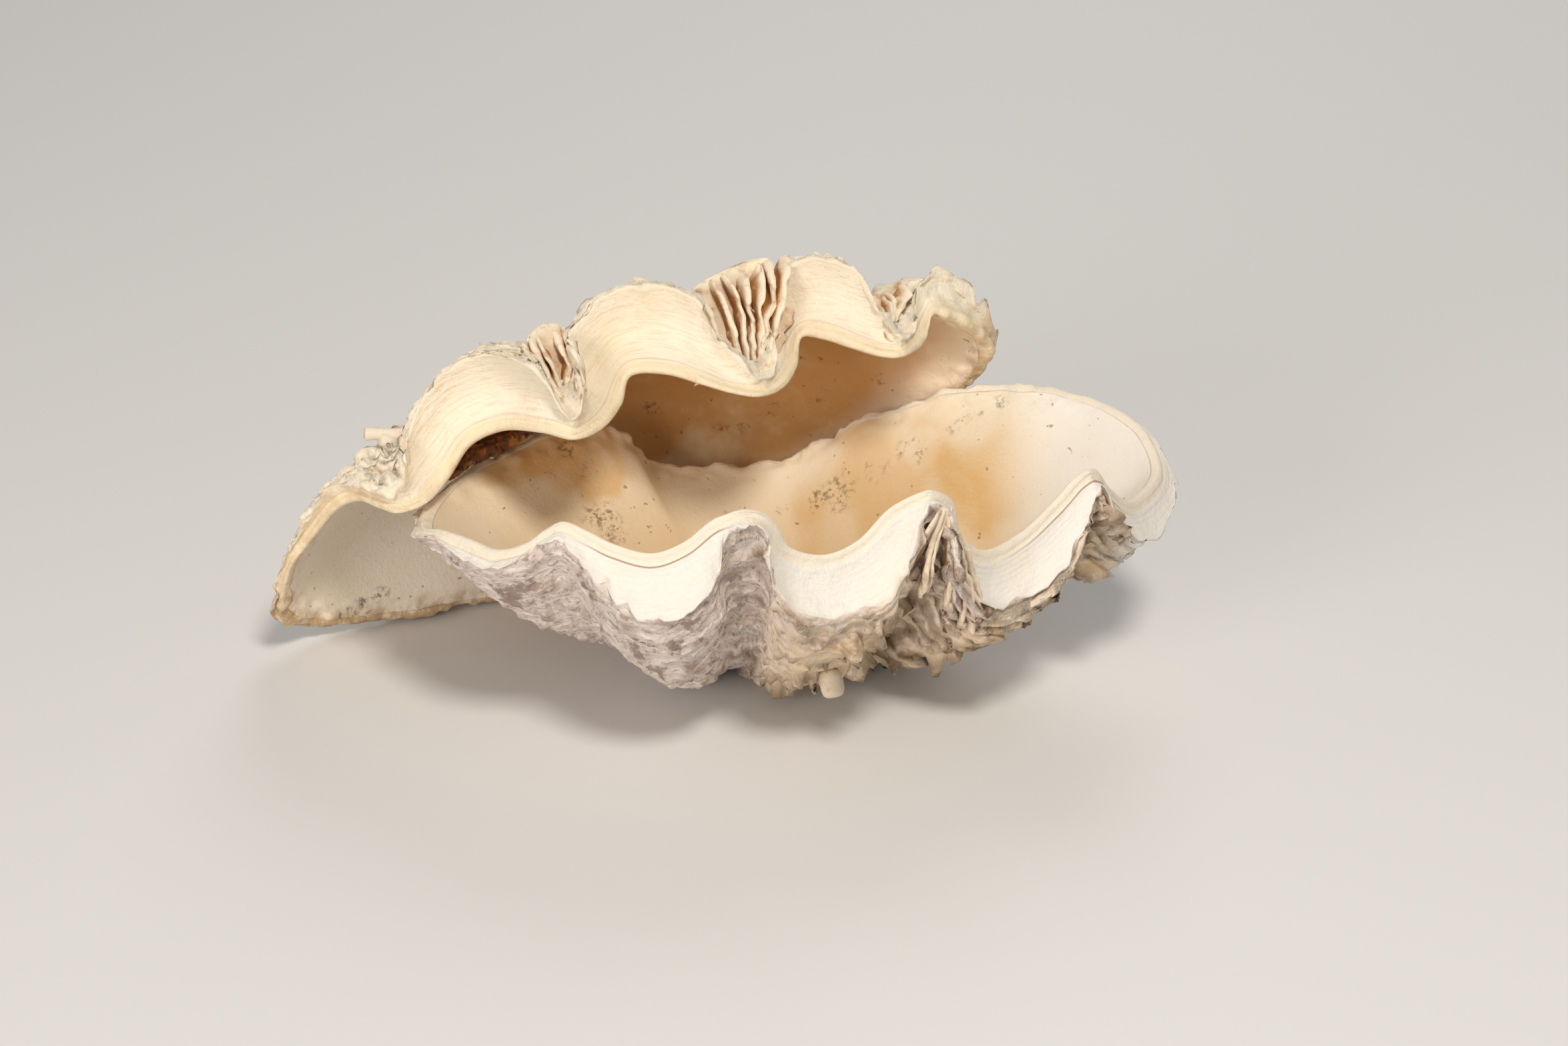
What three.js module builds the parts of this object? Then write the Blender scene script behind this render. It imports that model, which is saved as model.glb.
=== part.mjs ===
// A giant clam's shell, dried and laid out as two loose valves, with a scrap of ligament on the lower one.
// Millimetres, +Z up. The lower valve lies on its belly, and the upper valve stands behind it on its hinge
// edge and leans over it.
//
// Each valve is built in a frame of its own: x runs along the hinge, y from the hinge to the free margin,
// and w away from the plane where the two valves met, so that w is the depth of the bowl.
import * as THREE from "three";

// ---- Driving dimensions -------------------------------------------------------------------------------

const LOWER = {
  name: "lower_valve",
  side: 1, // w is +z in the valve's own frame
  origin: [0, 52, 54],
  yaw: 10,
  pitch: 0,
  roll: 172,
  beak: [-22, -12, 30],
  oval: { centre: [-6, 50], half: [102, 56] },
  belly: 84, // how far the growth lines are pulled out just past the beak
  wall: 58, // and again under the margin
  fan: 0.2, // how much a scute spreads to both sides of its rib
  taper: 1.4, // the higher, the shallower the two ends are against the middle
  bowl: [-6, 44, 50], // deepest point of the inside
  worn: 1.5, // how deep it is worn flat where it rests
  colour: 0xe9dcc4,
};

const UPPER = {
  name: "upper_valve",
  side: -1, // the mirror image of the lower valve
  origin: [-45, 40, 27],
  yaw: 9.7,
  pitch: 18.3,
  roll: 125,
  beak: [-14, -38, 24],
  oval: { centre: [10, 25], half: [105, 48] },
  belly: 66,
  wall: 44,
  fan: 0.35,
  taper: 1.7,
  bowl: [8, 22, 35],
  worn: 1,
  colour: 0xe6d6ba,
};

const BEAK_LEAN = 0.06; // share of its way that a growth line makes before it first turns
const LIP_TURN = 17; // how far inside the lip the outer wall turns up to it
const GROOVE_TURN = 9; // and how much further in a groove, where the lip is short
const LONG_LIP = 12; // drop of a lip that counts as a full scute
const RIM_TURN = 13; // how far inside the ridge the inside wall turns up to it
const RIM_FALL = 20; // and how deep
const END_FALL = 0.4; // share of that depth where the valve is shallowest
const BOWL_FLAT = 0.45; // share of the inside that is the flat of the bowl
const BROAD = 2.5; // stations on either side that a fold is evened out over on its way to the belly
const BROAD_SHARE = 0.6;
const END_TURN = 3; // how much deeper than the lip the outer wall turns where the valve is shallowest
const RUN_STEP = 0.5; // stations on either side that give the way the ridge runs

// The dried ligament lies along the lower valve's hinge rim, between these two stations of its list.
const LIGAMENT = {
  name: "ligament",
  from: 49.8,
  to: 52.9,
  half: [4, 2.2], // half its width and half its thickness
  inset: 1.5, // how far inside the ridge it lies
  gap: 0.5,
  colour: 0x4a2a12,
};
const LIGAMENT_END = 0.35; // share of its full size that it tapers to
const LIGAMENT_SECTIONS = 10;
const LIGAMENT_SIDES = 10;

const STEPS_PER_STATION = 2;
const OUTER_ROWS = 13;
const LIP_ROWS = 2;
const INNER_ROWS = 8;

// The ridge that met the other valve, from the front end round the free margin and back along the hinge.
// Each station is x, y, w of the ridge, then how far the lip stands out past it and how far it drops.
// A high lip is a rib's scute; a low one is the rounded rim over a groove.
const LOWER_STATIONS = [
  [-108, 56, 2, 3, 2],
  [-104, 65, 0, 3, 3],
  [-98, 73, 0, 4, 5],
  [-91, 81, 1, 4, 4],
  [-84, 86, -2, 4, 4],
  [-79, 88, -6, 4, 4],
  [-74, 91, -9, 4, 5],
  [-68, 95, -7, 4, 9],
  [-62, 98, -4, 5, 14],
  [-53, 102, -2, 6, 17],
  [-45, 104, -5, 6, 17],
  [-38, 106, -11, 5, 14],
  [-34, 107, -13, 3, 6],
  [-29, 107, -14, 3, 4],
  [-23, 106, -12, 3, 4],
  [-19, 105, -7, 4, 9],
  [-16, 104, -1, 5, 15],
  [-7, 103, 2, 5, 17],
  [2, 102, -1, 5, 18],
  [10, 102, -9, 5, 17],
  [18, 102, -13, 3, 6],
  [23, 101, -13, 3, 4],
  [29, 98, -8, 4, 7],
  [32, 95, 3, 4, 12],
  [39, 91, 9, 5, 15],
  [49, 88, 6, 5, 16],
  [58, 86, -1, 5, 15],
  [65, 85, -8, 4, 9],
  [71, 82, -9, 3, 5],
  [77, 77, -1, 4, 9],
  [85, 69, 6, 5, 11],
  [96, 56, 3, 5, 8],
  [96, 45, -4, 4, 5],
  [92, 37, -8, 4, 4],
  [84, 28, -11, 4, 4],
  [74, 23, -13, 3, 4],
  [64, 21, -14, 3, 4],
  [52, 20, -15, 3, 4],
  [42, 18, -13, 3, 4],
  [31, 14, -9, 3, 4],
  [20, 9, -4, 3, 4],
  [9, 4, 3, 3, 5],
  [1, 2, 8, 3, 5],
  [-8, 0, 10, 3, 5],
  [-22, -2, 10, 3, 5],
  [-35, -3, 9, 3, 5],
  [-42, -3, 5, 3, 5],
  [-46, -1, -2, 3, 5],
  [-53, 0, -5, 3, 5],
  [-62, 3, -6, 3, 5],
  [-72, 7, -6, 3, 4],
  [-82, 13, -4, 3, 4],
  [-93, 21, -2, 3, 3],
  [-101, 30, 1, 3, 3],
  [-106, 42, 2, 3, 2],
];

const UPPER_STATIONS = [
  [-95, 36, 0, 2, 3],
  [-89, 46, 2, 2, 3],
  [-81, 52, 4, 3, 3],
  [-71, 61, 5, 3, 4],
  [-64, 65, 3, 3, 5],
  [-59, 68, -3, 3, 5],
  [-54, 70, -8, 3, 5],
  [-46, 68, -7, 4, 9],
  [-39, 64, 0, 8, 14],
  [-30, 67, 6, 11, 16],
  [-20, 70, 5, 11, 18],
  [-10, 77, -4, 8, 16],
  [-2, 79, -11, 4, 6],
  [6, 74, -8, 5, 8],
  [13, 69, 0, 8, 18],
  [18, 70, 7, 9, 21],
  [27, 71, 3, 9, 23],
  [35, 71, -4, 8, 22],
  [42, 69, -9, 5, 14],
  [49, 65, -11, 3, 5],
  [56, 60, -8, 3, 6],
  [62, 55, 0, 5, 14],
  [66, 55, 8, 7, 19],
  [72, 56, 4, 8, 20],
  [78, 56, -2, 7, 18],
  [84, 55, -7, 4, 10],
  [90, 54, -9, 3, 5],
  [97, 47, -3, 3, 6],
  [103, 47, 4, 4, 10],
  [111, 38, 2, 3, 8],
  [114, 29, 0, 3, 5],
  [113, 21, -2, 3, 4],
  [107, 14, -3, 3, 4],
  [98, 8, -3, 3, 3],
  [84, -5, -2, 3, 4],
  [66, -14, 0, 3, 4],
  [46, -21, 1, 3, 5],
  [24, -27, 2, 3, 5],
  [2, -30, 2, 3, 5],
  [-18, -26, 1, 3, 5],
  [-38, -18, 0, 3, 4],
  [-58, -8, 0, 3, 4],
  [-78, 1, 0, 3, 3],
  [-92, 10, 0, 3, 3],
  [-99, 22, 0, 3, 3],
];

// ---- The growth surface -------------------------------------------------------------------------------

const mix = (a, b, t) => a + (b - a) * t;

function catmullRom(a, b, c, d, t) {
  const slopeB = (c - a) / 2;
  const slopeC = (d - b) / 2;
  const t2 = t * t;
  const t3 = t2 * t;
  const ends = (2 * t3 - 3 * t2 + 1) * b + (3 * t2 - 2 * t3) * c;
  return ends + (t3 - 2 * t2 + t) * slopeB + (t3 - t2) * slopeC;
}

// A station at any place along the margin: the whole numbers are the stations of the list.
function stationAt(stations, place) {
  const count = stations.length;
  const first = Math.floor(place);
  const at = (i) => stations[(((first + i) % count) + count) % count];
  return at(0).map((_, k) => catmullRom(at(-1)[k], at(0)[k], at(1)[k], at(2)[k], place - first));
}

function cubic(p0, p1, p2, p3, t) {
  const s = 1 - t;
  const [w0, w1, w2, w3] = [s * s * s, 3 * s * s * t, 3 * s * t * t, t * t * t];
  return p0.map((_, k) => w0 * p0[k] + w1 * p1[k] + w2 * p2[k] + w3 * p3[k]);
}

// A point of a fold, partly evened out with the points on either side of it.
const evened = (point, left, right) =>
  point.map((value, k) => mix(value, (value + left[k] + right[k]) / 3, BROAD_SHARE));

// The unit vector in the plane of the margin that points straight out of the valve's oval.
function outward({ centre, half }, x, y) {
  const across = (x - centre[0]) / half[0] ** 2;
  const along = (y - centre[1]) / half[1] ** 2;
  const length = Math.hypot(across, along);
  return [across / length, along / length];
}

// Where the lip ends: out from the ridge and away from the other valve, square to the ridge's own wave,
// so that a scute fans out and two scutes close in on the groove between them.
function lipEdge(valve, stations, place) {
  const [x, y, w, out, drop] = stationAt(stations, place);
  const before = stationAt(stations, place - RUN_STEP);
  const after = stationAt(stations, place + RUN_STEP);
  const run = [after[0] - before[0], after[1] - before[1]];
  const length = Math.hypot(...run);
  const slope = (valve.fan * (after[2] - before[2])) / length;
  const square = drop / Math.hypot(1, slope);
  const [nx, ny] = outward(valve.oval, x, y);
  return [
    x + nx * out - (run[0] / length) * slope * square,
    y + ny * out - (run[1] / length) * slope * square,
    w + square,
  ];
}

// One cross-cut of the valve, from the beak over the outside to the lip, and back down the inside.
function crossCut(valve, stations, place) {
  const { beak, bowl, oval } = valve;
  const station = stationAt(stations, place);
  const ridge = station.slice(0, 3);
  const edge = lipEdge(valve, stations, place);
  const [left, right] = [place - BROAD, place + BROAD];
  const broad = evened(edge, lipEdge(valve, stations, left), lipEdge(valve, stations, right));
  const broadRidge = evened(ridge, stationAt(stations, left), stationAt(stations, right));
  const [nx, ny] = outward(oval, ridge[0], ridge[1]);

  const share = (ridge[1] - beak[1]) / (oval.centre[1] + oval.half[1] - beak[1]);
  const reach = Math.max(0, share) ** valve.taper;
  const turn = (LIP_TURN + GROOVE_TURN * Math.max(0, 1 - station[4] / LONG_LIP)) * reach;
  const overBeak = [
    mix(beak[0], broad[0], BEAK_LEAN),
    mix(beak[1], broad[1], BEAK_LEAN),
    mix(beak[2], valve.belly, reach),
  ];
  const underLip = [
    broad[0] - nx * turn,
    broad[1] - ny * turn,
    mix(broad[2] + END_TURN, valve.wall, reach),
  ];
  const underRim = [
    ridge[0] - nx * RIM_TURN,
    ridge[1] - ny * RIM_TURN,
    broadRidge[2] + RIM_FALL * mix(END_FALL, 1, reach),
  ];
  const bowlSide = [mix(bowl[0], ridge[0], BOWL_FLAT), mix(bowl[1], ridge[1], BOWL_FLAT), bowl[2]];

  const cut = [];
  for (let i = 1; i <= OUTER_ROWS; i++) cut.push(cubic(beak, overBeak, underLip, edge, i / OUTER_ROWS));
  for (let i = 1; i <= LIP_ROWS; i++) {
    const t = i / LIP_ROWS;
    cut.push(edge.map((value, k) => mix(value, ridge[k], t)));
  }
  for (let i = 1; i < INNER_ROWS; i++) cut.push(cubic(ridge, underRim, bowlSide, bowl, i / INNER_ROWS));
  return cut;
}

// The closed body of a valve in its own frame: cross-cuts joined side by side, with the beak and the
// bottom of the bowl as its two poles.
function valveGeometry(valve, stations) {
  const columns = stations.length * STEPS_PER_STATION;
  const points = [valve.beak, valve.bowl];
  let rows = 0;
  for (let i = 0; i < columns; i++) {
    const cut = crossCut(valve, stations, i / STEPS_PER_STATION);
    rows = cut.length;
    points.push(...cut);
  }
  const at = (column, row) => 2 + (column % columns) * rows + row;
  const triangles = [];
  for (let i = 0; i < columns; i++) {
    triangles.push([0, at(i + 1, 0), at(i, 0)]);
    for (let j = 0; j + 1 < rows; j++) {
      triangles.push([at(i, j), at(i + 1, j), at(i + 1, j + 1)]);
      triangles.push([at(i, j), at(i + 1, j + 1), at(i, j + 1)]);
    }
    triangles.push([1, at(i, rows - 1), at(i + 1, rows - 1)]);
  }
  if (valve.side < 0) triangles.forEach((triangle) => triangle.reverse());

  const geometry = new THREE.BufferGeometry();
  const flat = points.flatMap(([x, y, w]) => [x, y, w * valve.side]);
  geometry.setAttribute("position", new THREE.Float32BufferAttribute(flat, 3));
  geometry.setIndex(triangles.flat());
  return geometry;
}

// ---- The assembly -------------------------------------------------------------------------------------

const rad = THREE.MathUtils.degToRad;

function frameOf(valve) {
  const turn = new THREE.Euler(rad(valve.roll), rad(-valve.pitch), rad(valve.yaw), "ZYX");
  return new THREE.Matrix4().makeRotationFromEuler(turn).setPosition(...valve.origin);
}

// Let down by the worn depth, whatever would reach below the ground is pressed flat onto it: the worn
// patches that the shell rests on.
function wornFlat(geometry, depth) {
  const position = geometry.getAttribute("position");
  for (let i = 0; i < position.count; i++) position.setZ(i, Math.max(0, position.getZ(i) - depth));
  return geometry;
}

function valveMesh(valve, stations) {
  const geometry = valveGeometry(valve, stations).applyMatrix4(frameOf(valve));
  const material = new THREE.MeshStandardMaterial({ color: valve.colour, roughness: 0.7, metalness: 0 });
  const mesh = new THREE.Mesh(wornFlat(geometry, valve.worn), material);
  mesh.name = valve.name;
  return mesh;
}

// A flattened strip that tapers to both ends, laid along the ridge just clear of it.
function ligamentGeometry(strip, valve, stations) {
  const points = [];
  const triangles = [];
  const ridgeAt = (place) => stationAt(stations, place);
  for (let i = 0; i <= LIGAMENT_SECTIONS; i++) {
    const place = mix(strip.from, strip.to, i / LIGAMENT_SECTIONS);
    const [x, y, w] = ridgeAt(place);
    const [nx, ny] = outward(valve.oval, x, y);
    const size = mix(LIGAMENT_END, 1, Math.sin((Math.PI * (i + 0.5)) / (LIGAMENT_SECTIONS + 1)));
    const centre = w - strip.gap - strip.half[1];
    for (let j = 0; j < LIGAMENT_SIDES; j++) {
      const angle = (2 * Math.PI * j) / LIGAMENT_SIDES;
      const across = size * strip.half[0] * Math.cos(angle) - strip.inset;
      points.push([x + nx * across, y + ny * across, centre + size * strip.half[1] * Math.sin(angle)]);
    }
  }
  const at = (section, side) => section * LIGAMENT_SIDES + (side % LIGAMENT_SIDES);
  for (let i = 0; i < LIGAMENT_SECTIONS; i++)
    for (let j = 0; j < LIGAMENT_SIDES; j++) {
      triangles.push([at(i, j), at(i, j + 1), at(i + 1, j + 1)]);
      triangles.push([at(i, j), at(i + 1, j + 1), at(i + 1, j)]);
    }
  for (let j = 1; j + 1 < LIGAMENT_SIDES; j++) {
    triangles.push([at(0, 0), at(0, j + 1), at(0, j)]);
    triangles.push([at(LIGAMENT_SECTIONS, 0), at(LIGAMENT_SECTIONS, j), at(LIGAMENT_SECTIONS, j + 1)]);
  }
  const geometry = new THREE.BufferGeometry();
  geometry.setAttribute("position", new THREE.Float32BufferAttribute(points.flat(), 3));
  geometry.setIndex(triangles.flat());
  return geometry;
}

function ligamentMesh(strip, valve, stations) {
  const geometry = ligamentGeometry(strip, valve, stations).applyMatrix4(frameOf(valve));
  geometry.translate(0, 0, -valve.worn);
  const material = new THREE.MeshStandardMaterial({ color: strip.colour, roughness: 0.85, metalness: 0 });
  const mesh = new THREE.Mesh(geometry, material);
  mesh.name = strip.name;
  return mesh;
}

const clam = new THREE.Group();
clam.add(
  valveMesh(LOWER, LOWER_STATIONS),
  valveMesh(UPPER, UPPER_STATIONS),
  ligamentMesh(LIGAMENT, LOWER, LOWER_STATIONS),
);

// The origin is on the ground, under the middle of the whole shell's box.
const middle = new THREE.Box3().setFromObject(clam).getCenter(new THREE.Vector3());
clam.position.set(-middle.x, -middle.y, 0);

export default clam;
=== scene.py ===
import math

import bpy
import numpy as np
from mathutils import Euler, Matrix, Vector


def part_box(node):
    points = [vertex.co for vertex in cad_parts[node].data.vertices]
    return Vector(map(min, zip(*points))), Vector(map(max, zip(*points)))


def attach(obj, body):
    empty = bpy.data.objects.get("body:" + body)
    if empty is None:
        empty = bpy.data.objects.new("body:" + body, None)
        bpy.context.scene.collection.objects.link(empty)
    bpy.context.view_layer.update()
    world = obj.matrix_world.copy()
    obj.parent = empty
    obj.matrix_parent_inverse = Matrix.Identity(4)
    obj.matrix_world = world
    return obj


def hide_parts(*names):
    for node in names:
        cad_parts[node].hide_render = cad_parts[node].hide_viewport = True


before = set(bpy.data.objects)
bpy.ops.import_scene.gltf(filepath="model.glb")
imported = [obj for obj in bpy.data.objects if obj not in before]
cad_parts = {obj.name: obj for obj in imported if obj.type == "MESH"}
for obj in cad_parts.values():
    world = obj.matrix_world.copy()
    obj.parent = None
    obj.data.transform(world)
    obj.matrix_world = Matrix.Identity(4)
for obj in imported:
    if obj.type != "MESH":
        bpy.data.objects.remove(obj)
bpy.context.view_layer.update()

bpy.ops.object.select_all(action="DESELECT")

# ---- Lower valve ---------------------------------------------------------------------
# The deeper of the clam's two valves, one piece of dense white aragonite, lying on its belly. It grew at
# its free margin, so every older margin is still there as a growth line, and on the ribs and in the
# grooves as a frill. The outside is worn grey and chalky, the inside is smooth and porcelain-like.
#
# The valve is built in a frame of its own, in millimetres: x runs along the hinge, y from the hinge to
# the free margin, w away from the plane where the valves met. A station is x, y and w of the ridge that
# met the other valve, then how far the lip stands out past it and how far it drops. "Place" is a number
# along the list of stations, whole at each station.
LOWER = {
    "name": "lower_valve",
    "side": 1,  # which way w runs
    "turn": Euler((math.radians(172), 0, math.radians(10)), "XYZ"),  # how the valve lies
    "beak": (-22, -12, 30),  # where it began to grow
    "centre": (-6, 50),  # of the oval that the margin follows, and half its length and width
    "half": (102, 56),
    "belly": 84,  # w of the outside's two bends, where the valve is deepest
    "wall": 58,
    "fan": 0.2,  # how far a lip turns square to the ridge's wave
    "taper": 1.4,  # how late the valve grows deep, on the way from the hinge to the free margin
    "bowl": (-6, 44, 50),  # the bottom of the inside
    "seed": 11,
}
LOWER["stations"] = np.array([
    (-108, 56, 2, 3, 2), (-104, 65, 0, 3, 3), (-98, 73, 0, 4, 5), (-91, 81, 1, 4, 4),
    (-84, 86, -2, 4, 4), (-79, 88, -6, 4, 4), (-74, 91, -9, 4, 5), (-68, 95, -7, 4, 9),
    (-62, 98, -4, 5, 14), (-53, 102, -2, 6, 17), (-45, 104, -5, 6, 17), (-38, 106, -11, 5, 14),
    (-34, 107, -13, 3, 6), (-29, 107, -14, 3, 4), (-23, 106, -12, 3, 4), (-19, 105, -7, 4, 9),
    (-16, 104, -1, 5, 15), (-7, 103, 2, 5, 17), (2, 102, -1, 5, 18), (10, 102, -9, 5, 17),
    (18, 102, -13, 3, 6), (23, 101, -13, 3, 4), (29, 98, -8, 4, 7), (32, 95, 3, 4, 12),
    (39, 91, 9, 5, 15), (49, 88, 6, 5, 16), (58, 86, -1, 5, 15), (65, 85, -8, 4, 9),
    (71, 82, -9, 3, 5), (77, 77, -1, 4, 9), (85, 69, 6, 5, 11), (96, 56, 3, 5, 8),
    (96, 45, -4, 4, 5), (92, 37, -8, 4, 4), (84, 28, -11, 4, 4), (74, 23, -13, 3, 4),
    (64, 21, -14, 3, 4), (52, 20, -15, 3, 4), (42, 18, -13, 3, 4), (31, 14, -9, 3, 4),
    (20, 9, -4, 3, 4), (9, 4, 3, 3, 5), (1, 2, 8, 3, 5), (-8, 0, 10, 3, 5), (-22, -2, 10, 3, 5),
    (-35, -3, 9, 3, 5), (-42, -3, 5, 3, 5), (-46, -1, -2, 3, 5), (-53, 0, -5, 3, 5),
    (-62, 3, -6, 3, 5), (-72, 7, -6, 3, 4), (-82, 13, -4, 3, 4), (-93, 21, -2, 3, 3),
    (-101, 30, 1, 3, 3), (-106, 42, 2, 3, 2),
], float)

BEAK_LEAN = 0.06  # share of the way from beak to lip at which the outside first bends
LIP_TURN = 17  # how far inside the lip the outer wall turns up to it
LIP_DIP = 3  # and how far past it at the hinge, where the valve is shallowest
GROOVE_TURN = 9  # how much further inside it turns in a groove, where the lip is short
LONG_LIP = 12  # drop of a lip that counts as a full scute
RIM_TURN = 13  # how far inside the ridge the inside wall turns up to it
RIM_FALL = 20  # and how deep
END_FALL = 0.4  # share of that depth where the valve is shallowest
BOWL_FLAT = 0.45  # share of the inside that is the flat of the bowl
BROAD = 2.5  # stations on either side that a fold is evened out over on its way to the belly
BROAD_SHARE = 0.6
RIM_ROUND = 2.4  # how far down the lip the ridge is rounded
RIM_LIMIT = 0.45  # and the largest share of the lip that this takes
RIM_INSIDE = 0.05  # share of the inside that belongs to the rounded ridge
BAND = 4.6  # width of the last year's cream band along the ridge
FAR = 99.0  # what stands for the way to the ridge where it doesn't matter

COLUMNS = 460
FRILLS = 20  # old margins that still show on the outside
FRILL_ROWS = (0.0, 0.4, 0.7, 0.88, 1.0)  # rows between two of them, as shares of the gap
FRILL_BACK = 0.04  # share of the gap in which a frill drops back to the wall
GAP_GROWTH = 2.2  # how much wider than the last gap the first one is, at the beak
GAP_SCATTER = 0.35  # how far a gap may be off, as a share of it
BEAK_SPARE = 1.04  # all the way from margin to beak, in units of the gaps
EARLY_FRILL = 0.15  # share of its height that a frill near the beak keeps
LIP_ROWS = 30
RIM_ROWS = 7
INNER_ROWS = 52
INNER_CROWD = 1.2  # how much closer together the rows of the inside lie under the ridge
SOFT_SPAN = 9  # columns on both sides that folds are blurred over
SOFT_ROUNDS = 2

# Noise comes in layers, each with a height, the size of its lumps and a seed. Along the growth lines it is
# measured in stations and in shares of the way from beak to margin, at these scales.
STATION_SCALE = 9
GROWTH_SCALE = 60
MARGIN_WOBBLE = ((0.066, 14, 5), (0.036, 5, 6))
RAGGED_FRILLS = ((0.2, 6, 7), (0.25, 2.4, 8))


def mix(a, b, share):
    """The value that lies this share of the way from a to b."""
    return a + (b - a) * share


def ramp(low, high, value):
    """0 below low, 1 above high, and smooth between them."""
    share = np.clip((value - low) / (high - low), 0, 1)
    return share * share * (3 - 2 * share)


SCRAMBLE = (73856093, 19349663, 83492791, 265443576, 1274126177)  # big numbers that scramble a place
HIGHEST = 0xFFFF


def grain(points, size, seed):
    """Smooth noise from -1 to 1 with lumps about size across."""
    cell = points / size
    base = np.floor(cell).astype(np.int64)
    share = cell - base
    share = share * share * (3 - 2 * share)
    total = 0
    for corner in np.ndindex(2, 2, 2):
        key = base + corner
        x, y, z = (key[..., axis] * SCRAMBLE[axis] for axis in range(3))
        code = x ^ y ^ z ^ seed * SCRAMBLE[3]
        code = (code ^ (code >> 13)) * SCRAMBLE[4]
        code = (code ^ (code >> 16)) & HIGHEST
        weight = np.prod(np.where(corner, share, 1 - share), axis=-1)
        total = total + (2 * code / HIGHEST - 1) * weight
    return total


def layered(points, layers):
    """Layers of noise, each with its height, the size of its lumps and its seed."""
    return sum(height * grain(points, size, seed) for height, size, seed in layers)


def spread(*runs):
    """Points for the noise from three runs of numbers."""
    return np.stack(np.broadcast_arrays(*runs), -1)


def station_at(stations, place):
    """The stations' curve at an array of places: a row of x, y, w, out, drop for each."""
    count = len(stations)
    first = np.floor(place).astype(int)
    t = (place - first)[:, None]
    a, b, c, d = (stations[(first + step) % count] for step in (-1, 0, 1, 2))
    slope_b = (c - a) / 2
    slope_c = (d - b) / 2
    rise = 2 * t**3 - 3 * t**2
    return (rise + 1) * b + (t**3 - 2 * t**2 + t) * slope_b - rise * c + (t**3 - t**2) * slope_c


def outward(valve, ridge):
    """The unit vector in the margin's plane that points straight out of the valve's oval."""
    normal = (ridge[:, :2] - valve["centre"]) / np.square(valve["half"])
    return normal / np.linalg.norm(normal, axis=1, keepdims=True)


def lip_edge(valve, place):
    """Where the lip ends: out from the ridge, and down square to the ridge's own wave."""
    here = station_at(valve["stations"], place)
    run = station_at(valve["stations"], place + 0.5) - station_at(valve["stations"], place - 0.5)
    length = np.linalg.norm(run[:, :2], axis=1)
    slope = valve["fan"] * run[:, 2] / length
    square = here[:, 4] / np.hypot(1, slope)
    edge = here[:, :3].copy()
    edge[:, :2] += outward(valve, here) * here[:, 3:4]
    edge[:, :2] -= run[:, :2] / length[:, None] * (slope * square)[:, None]
    edge[:, 2] += square
    return edge


def evened(point, left, right):
    """A point of a fold, partly evened out with the points on either side of it."""
    return mix(point, (point + left + right) / 3, BROAD_SHARE)


def cubic(ends, t):
    """A Bezier curve from four arrays of points, at an array of t, a row of points for each t."""
    t = np.asarray(t, float)
    t = t[:, None, None] if t.ndim == 1 else t[:, :, None]
    s = 1 - t
    return s**3 * ends[0] + 3 * s * s * t * ends[1] + 3 * s * t * t * ends[2] + t**3 * ends[3]


def cross_cuts(valve, place):
    """The control points of the valve's outer and inner curves at each place, with the lip between."""
    station = station_at(valve["stations"], place)
    ridge = station[:, :3]
    edge = lip_edge(valve, place)
    broad = evened(edge, lip_edge(valve, place - BROAD), lip_edge(valve, place + BROAD))
    low_ridge, high_ridge = (station_at(valve["stations"], place + k)[:, :3] for k in (-BROAD, BROAD))
    broad_ridge = evened(ridge, low_ridge, high_ridge)
    normal = outward(valve, ridge)
    beak = np.broadcast_to(np.array(valve["beak"], float), ridge.shape)
    bowl = np.broadcast_to(np.array(valve["bowl"], float), ridge.shape)

    far = valve["centre"][1] + valve["half"][1] - valve["beak"][1]
    reach = np.maximum(0, (ridge[:, 1] - valve["beak"][1]) / far) ** valve["taper"]
    turn = (LIP_TURN + GROOVE_TURN * np.maximum(0, 1 - station[:, 4] / LONG_LIP)) * reach
    over_beak = mix(beak, broad, BEAK_LEAN)
    over_beak[:, 2] = mix(valve["beak"][2], valve["belly"], reach)
    under_lip = broad.copy()
    under_lip[:, :2] -= normal * turn[:, None]
    under_lip[:, 2] = mix(broad[:, 2] + LIP_DIP, valve["wall"], reach)
    under_rim = ridge.copy()
    under_rim[:, :2] -= normal * RIM_TURN
    under_rim[:, 2] = broad_ridge[:, 2] + RIM_FALL * mix(END_FALL, 1, reach)
    bowl_side = mix(bowl, ridge, BOWL_FLAT)
    bowl_side[:, 2] = valve["bowl"][2]
    return (beak, over_beak, under_lip, edge), (ridge, under_rim, bowl_side, bowl)


def old_margins(valve):
    """How far from the beak to the margin, from 0 to 1, each old margin lies; the last is today's."""
    draw = np.random.default_rng(valve["seed"])
    gaps = np.linspace(1, GAP_GROWTH, FRILLS) * draw.uniform(1 - GAP_SCATTER, 1 + GAP_SCATTER, FRILLS)
    return 1 - np.cumsum(np.r_[0, gaps])[::-1] / (gaps.sum() * BEAK_SPARE)


def softened(rows, share):
    """The rows with each fold blurred into its neighbours, as much as share says for the row."""
    blurred = rows
    steps = range(-SOFT_SPAN, SOFT_SPAN + 1)
    for _ in range(SOFT_ROUNDS):
        blurred = np.mean([np.roll(blurred, step, axis=1) for step in steps], axis=0)
    return mix(rows, blurred, share[:, None, None])


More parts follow.
